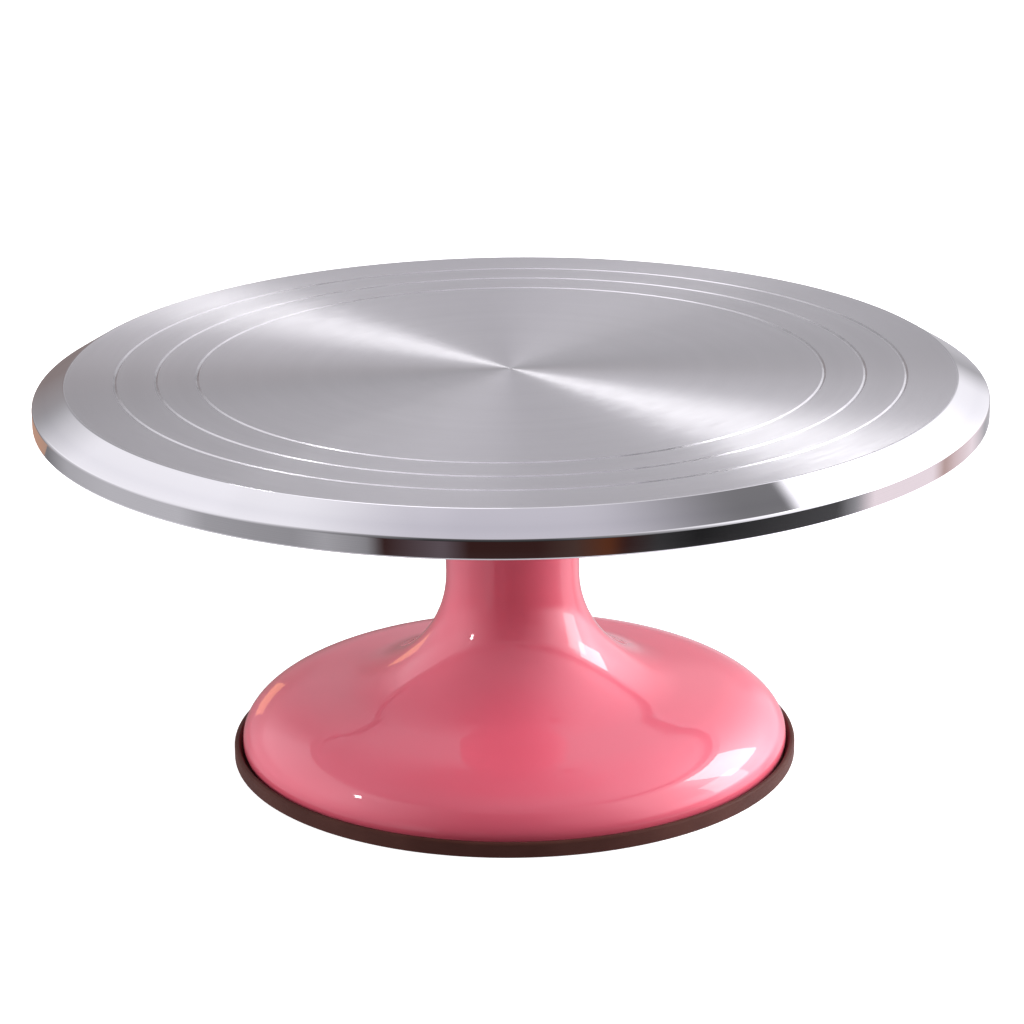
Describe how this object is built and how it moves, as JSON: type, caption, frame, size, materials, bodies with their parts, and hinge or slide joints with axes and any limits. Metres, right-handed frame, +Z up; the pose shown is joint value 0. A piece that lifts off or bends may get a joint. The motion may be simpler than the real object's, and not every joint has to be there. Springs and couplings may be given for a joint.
{
  "type": "cake turntable",
  "caption": "Cake turntable: a round aluminium plate with guide rings turns on ball bearings in a domed, painted cast base with a rubber ring foot.",
  "frame": {"origin": "centre of the rubber ring's underside, on the surface that the turntable stands on", "axes": "+Z up along the plate's spin axis; +X points through a flange screw"},
  "size_m": [0.305, 0.305, 0.13],
  "materials": {
    "turned_aluminium": "circular turning marks, satin, with a polished edge",
    "machined_aluminium": "machined satin",
    "pink_enamel": "high-gloss stoved enamel on cast iron",
    "brown_rubber": "moulded, satin",
    "ground_steel": "ground",
    "black_oxide_steel": "black oxide",
    "zinc_plated_steel": "bright zinc",
    "spring_steel": "phosphated",
    "bearing_steel": "fine ground",
    "polished_balls": "polished",
    "pressed_steel": "pressed sheet",
    "black_nylon": "moulded"
  },
  "bodies": {
    "base": {"base_shell": "pink_enamel", "rubber_ring": "brown_rubber", "bearing_cover": "black_nylon", "end_plug": "black_nylon", "upper_circlip": "spring_steel", "lower_circlip": "spring_steel", "upper_outer_ring": "bearing_steel", "lower_outer_ring": "bearing_steel", "upper_shields": "pressed_steel", "lower_shields": "pressed_steel"},
    "bearing_rotor": {"upper_inner_ring": "bearing_steel", "lower_inner_ring": "bearing_steel", "bearing_spacer": "ground_steel"},
    "turntable": {"plate": "turned_aluminium", "hub_flange": "machined_aluminium", "spindle": "ground_steel", "spindle_screw": "black_oxide_steel", "flange_screws": "zinc_plated_steel", "spring_washers": "spring_steel"},
    "upper_ball_set": {"upper_balls": "polished_balls", "upper_cage": "pressed_steel"},
    "lower_ball_set": {"lower_balls": "polished_balls", "lower_cage": "pressed_steel"}
  },
  "joints": [
    {"name": "table_spin", "type": "hinge", "parent": "base", "child": "bearing_rotor", "pos_m": [0, 0, 0.1015], "axis": [0, 0, 1], "continuous": true},
    {"name": "lift_off", "type": "slide", "parent": "bearing_rotor", "child": "turntable", "axis": [0, 0, 1], "range_m": [0, 0.07]},
    {"name": "upper_ball_spin", "type": "hinge", "parent": "base", "child": "upper_ball_set", "pos_m": [0, 0, 0.1015], "axis": [0, 0, 1], "continuous": true},
    {"name": "lower_ball_spin", "type": "hinge", "parent": "base", "child": "lower_ball_set", "pos_m": [0, 0, 0.0595], "axis": [0, 0, 1], "continuous": true}
  ],
  "couplings": [
    {"joint": "upper_ball_spin", "follows": "table_spin", "ratio": 0.381},
    {"joint": "lower_ball_spin", "follows": "table_spin", "ratio": 0.381}
  ]
}
